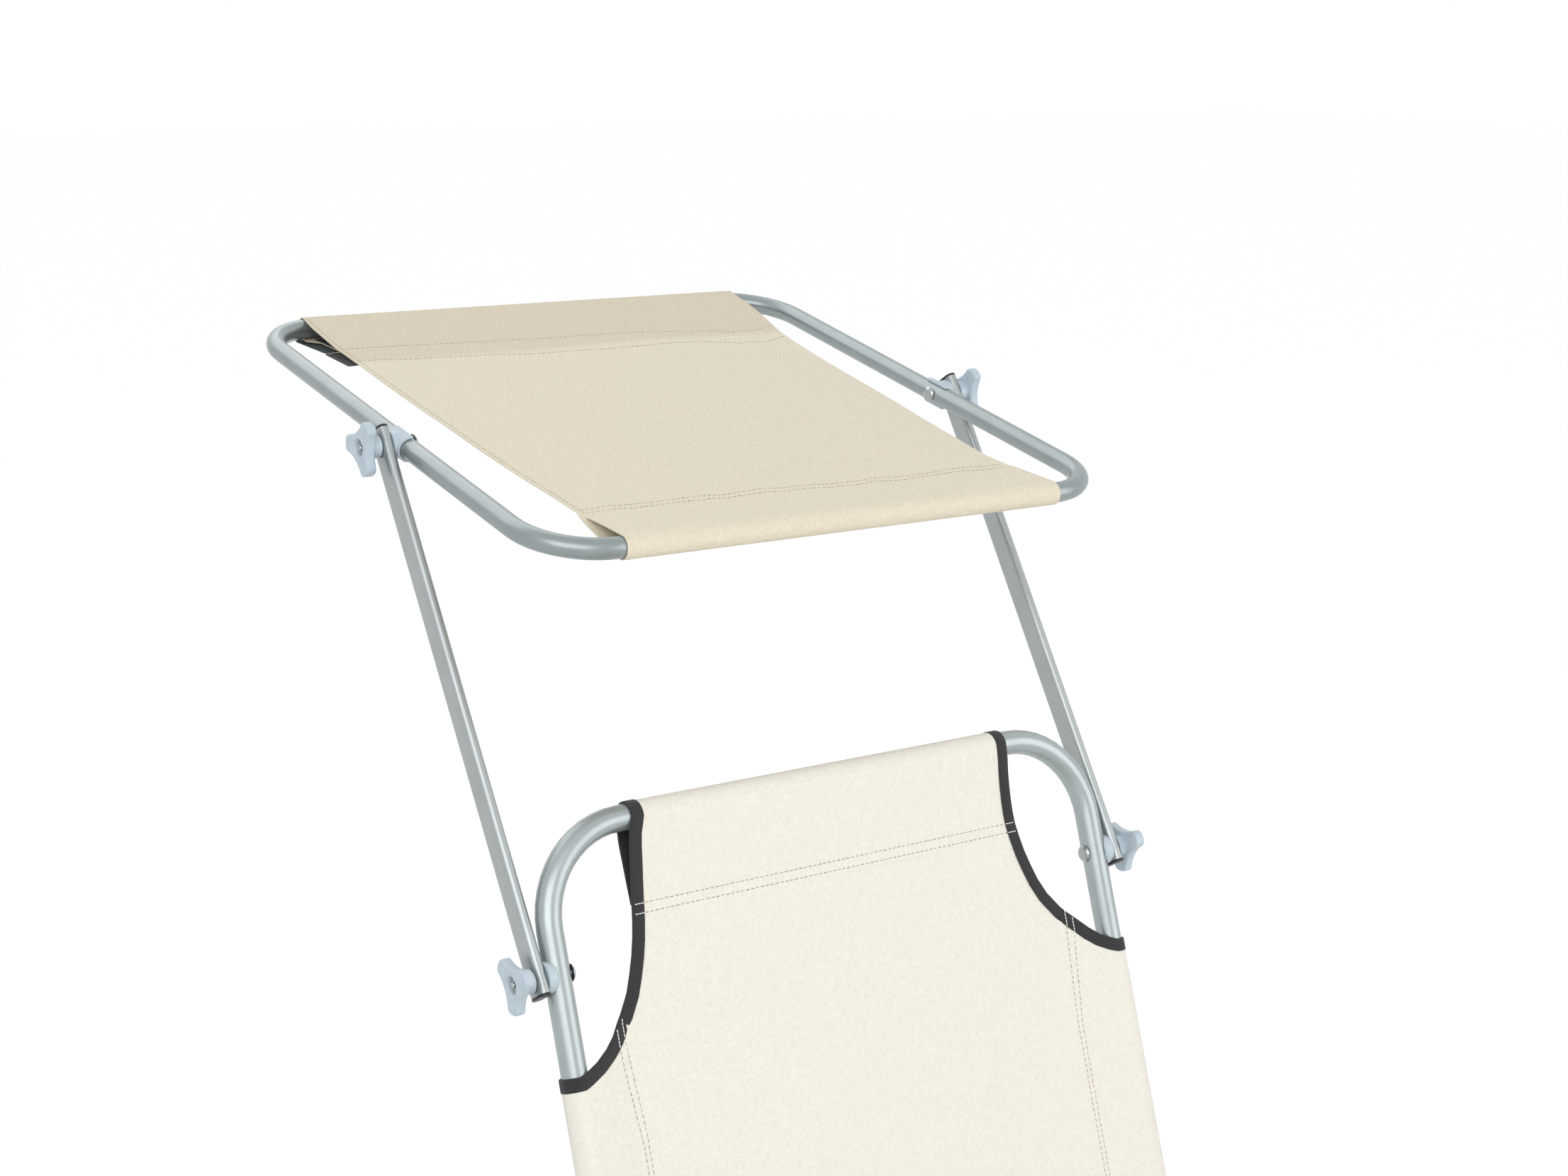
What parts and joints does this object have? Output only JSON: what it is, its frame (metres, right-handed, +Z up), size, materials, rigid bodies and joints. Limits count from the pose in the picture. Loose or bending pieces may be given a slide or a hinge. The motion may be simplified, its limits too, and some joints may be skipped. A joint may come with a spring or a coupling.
{
  "type": "sun lounger",
  "caption": "Three-section folding sun lounger on U-shaped tube legs, with a cloth canopy tilting on two friction arms at the head end.",
  "frame": {"origin": "on the floor under the middle of the lounger's bounding box, standing on the middle and foot legs", "axes": "+Z up, +Y from the foot end to the head end, +X to the left of someone lying on it"},
  "size_m": [0.6522, 1.9736, 1.1803],
  "materials": {
    "frame_tube": "satin silver-grey powder coat",
    "arm_tube": "satin silver, brighter than the frame",
    "zinc_steel": "bright zinc plate",
    "grey_plastic": "light blue-grey moulded plastic",
    "black_plastic": "black moulded plastic and tape",
    "sling_cloth": "cream woven cloth",
    "canopy_cloth": "beige woven cloth"
  },
  "bodies": {
    "seat": {"seat_rail_left": "frame_tube", "seat_rail_right": "frame_tube", "seat_crossbar_back": "frame_tube", "seat_crossbar_foot": "frame_tube", "seat_fabric": "sling_cloth", "middle_leg_bracket_left": "zinc_steel", "middle_leg_bracket_right": "zinc_steel", "back_hinge_fixed_plate_left": "zinc_steel", "back_hinge_fixed_plate_right": "zinc_steel", "back_hinge_rivet_left": "zinc_steel", "back_hinge_rivet_right": "zinc_steel", "foot_hinge_fixed_plate_left": "zinc_steel", "foot_hinge_fixed_plate_right": "zinc_steel", "foot_hinge_rivet_left": "zinc_steel", "foot_hinge_rivet_right": "zinc_steel"},
    "back": {"back_frame": "frame_tube", "back_fabric": "sling_cloth", "head_leg_bracket_left": "zinc_steel", "head_leg_bracket_right": "zinc_steel", "back_hinge_moving_plate_left": "zinc_steel", "back_hinge_moving_plate_right": "zinc_steel", "lower_bolt_left": "zinc_steel", "lower_bolt_right": "zinc_steel", "lower_saddle_left": "grey_plastic", "lower_saddle_right": "grey_plastic"},
    "foot": {"foot_frame": "frame_tube", "foot_fabric": "sling_cloth", "foot_leg_bracket_left": "zinc_steel", "foot_leg_bracket_right": "zinc_steel", "foot_hinge_moving_plate_left": "zinc_steel", "foot_hinge_moving_plate_right": "zinc_steel"},
    "head_leg": {"head_leg": "frame_tube", "head_leg_foot_left": "black_plastic", "head_leg_foot_right": "black_plastic"},
    "middle_leg": {"middle_leg": "frame_tube", "middle_leg_foot_left": "black_plastic", "middle_leg_foot_right": "black_plastic"},
    "foot_leg": {"foot_leg": "frame_tube", "foot_leg_foot_left": "black_plastic", "foot_leg_foot_right": "black_plastic"},
    "canopy_arms": {"arm_left": "arm_tube", "arm_right": "arm_tube", "arm_plug_lower_left": "black_plastic", "arm_plug_lower_right": "black_plastic", "arm_plug_upper_left": "black_plastic", "arm_plug_upper_right": "black_plastic"},
    "canopy": {"canopy_frame": "frame_tube", "canopy_frame_joiner": "black_plastic", "canopy_fabric": "canopy_cloth", "canopy_hook_strip": "black_plastic", "upper_bolt_left": "zinc_steel", "upper_bolt_right": "zinc_steel", "upper_saddle_left": "grey_plastic", "upper_saddle_right": "grey_plastic"},
    "lower_knob_left": {"lower_knob_left": "grey_plastic"},
    "lower_knob_right": {"lower_knob_right": "grey_plastic"},
    "upper_knob_left": {"upper_knob_left": "grey_plastic"},
    "upper_knob_right": {"upper_knob_right": "grey_plastic"},
    "pawl_left": {"back_hinge_pawl_left": "zinc_steel"},
    "pawl_right": {"back_hinge_pawl_right": "zinc_steel"}
  },
  "joints": [
    {"name": "back_hinge", "type": "hinge", "parent": "seat", "child": "back", "pos_m": [0, 0.2726, 0.276], "axis": [1, 0, 0], "range_deg": [-71.5, 88.5]},
    {"name": "foot_hinge", "type": "hinge", "parent": "seat", "child": "foot", "pos_m": [0, -0.3674, 0.276], "axis": [1, 0, 0], "range_deg": [-180, 0]},
    {"name": "head_leg_pivot", "type": "hinge", "parent": "back", "child": "head_leg", "pos_m": [0, 0.41525, 0.57625], "axis": [-1, 0, 0], "range_deg": [-112, 0]},
    {"name": "middle_leg_pivot", "type": "hinge", "parent": "seat", "child": "middle_leg", "pos_m": [0, 0.12261, 0.236], "axis": [-1, 0, 0], "range_deg": [0, 112]},
    {"name": "foot_leg_pivot", "type": "hinge", "parent": "foot", "child": "foot_leg", "pos_m": [0, -0.81239, 0.236], "axis": [1, 0, 0], "range_deg": [0, 112]},
    {"name": "arm_pivot", "type": "hinge", "parent": "back", "child": "canopy_arms", "pos_m": [0, 0.43343, 0.71253], "axis": [-1, 0, 0], "range_deg": [-90, 76]},
    {"name": "canopy_tilt", "type": "hinge", "parent": "canopy_arms", "child": "canopy", "pos_m": [0, 0.68122, 1.10601], "axis": [-1, 0, 0], "range_deg": [-135, 135]},
    {"name": "lower_knob_left_turn", "type": "hinge", "parent": "back", "child": "lower_knob_left", "pos_m": [0, 0.43343, 0.71253], "axis": [-1, 0, 0], "range_deg": [0, 540]},
    {"name": "upper_knob_left_turn", "type": "hinge", "parent": "canopy", "child": "upper_knob_left", "pos_m": [0, 0.68122, 1.10601], "axis": [-1, 0, 0], "range_deg": [0, 540]},
    {"name": "pawl_left_lift", "type": "hinge", "parent": "back", "child": "pawl_left", "pos_m": [0, 0.29351, 0.30697], "axis": [-1, 0, 0], "range_deg": [0, 20], "stiffness_Nm_per_rad": 0.02},
    {"name": "lower_knob_right_turn", "type": "hinge", "parent": "back", "child": "lower_knob_right", "pos_m": [0, 0.43343, 0.71253], "axis": [1, 0, 0], "range_deg": [0, 540]},
    {"name": "upper_knob_right_turn", "type": "hinge", "parent": "canopy", "child": "upper_knob_right", "pos_m": [0, 0.68122, 1.10601], "axis": [1, 0, 0], "range_deg": [0, 540]},
    {"name": "pawl_right_lift", "type": "hinge", "parent": "back", "child": "pawl_right", "pos_m": [0, 0.29351, 0.30697], "axis": [-1, 0, 0], "range_deg": [0, 20], "stiffness_Nm_per_rad": 0.02}
  ]
}
